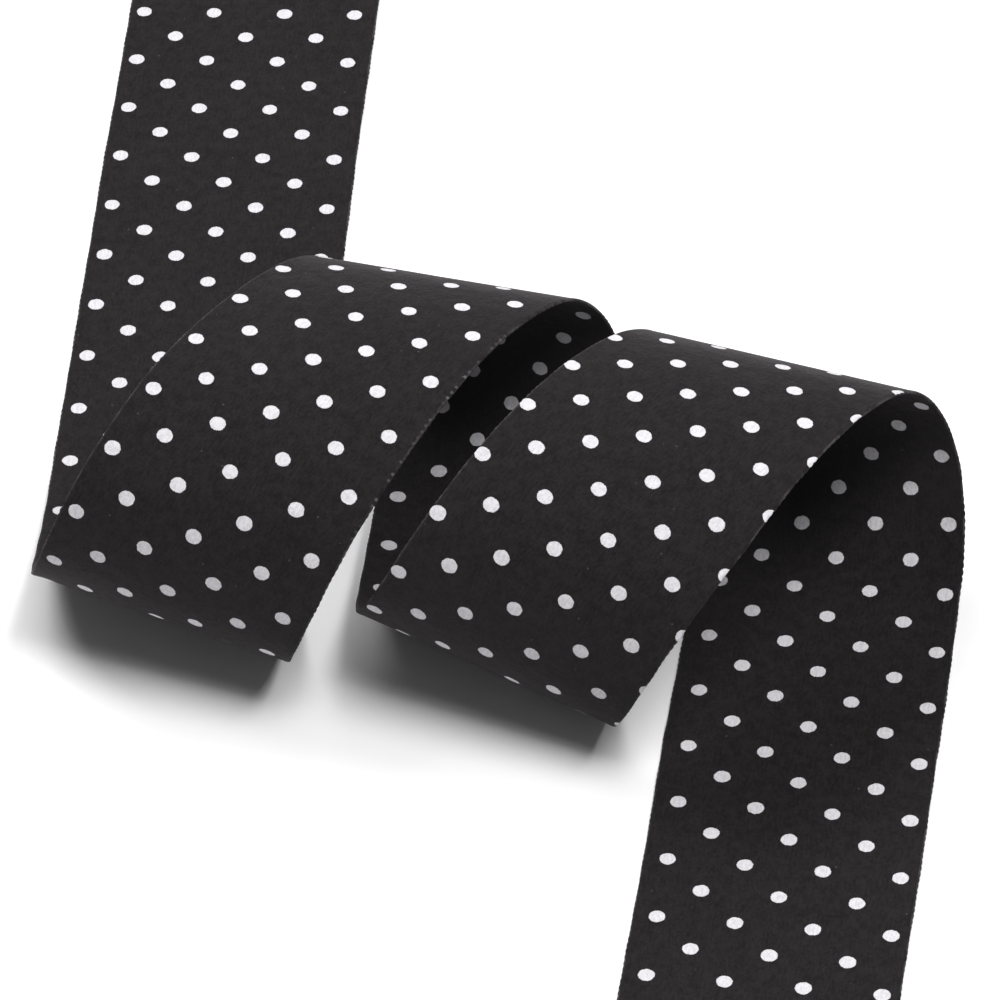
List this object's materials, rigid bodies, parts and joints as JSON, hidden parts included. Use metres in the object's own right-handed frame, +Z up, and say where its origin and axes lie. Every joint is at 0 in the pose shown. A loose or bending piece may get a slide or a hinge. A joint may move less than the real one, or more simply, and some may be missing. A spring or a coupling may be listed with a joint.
{
  "type": "curled length of double-faced ribbon",
  "caption": "Flat woven ribbon printed with dots on both faces, lying in open side-by-side loops between straight flat tails.",
  "frame": {"origin": "middle of the footprint, on the plane that the tails lie on", "axes": "+Z up, +X along the loops from the rear tail's side to the front tail's, the tails near the Y axis with the front tail towards -Y"},
  "size_m": [0.1638, 0.2396, 0.0429],
  "materials": {
    "ribbon_cloth": "matte fine weave, printed with white dots on both faces"
  },
  "bodies": {
    "root": {"ribbon": "ribbon_cloth"}
  },
  "joints": []
}
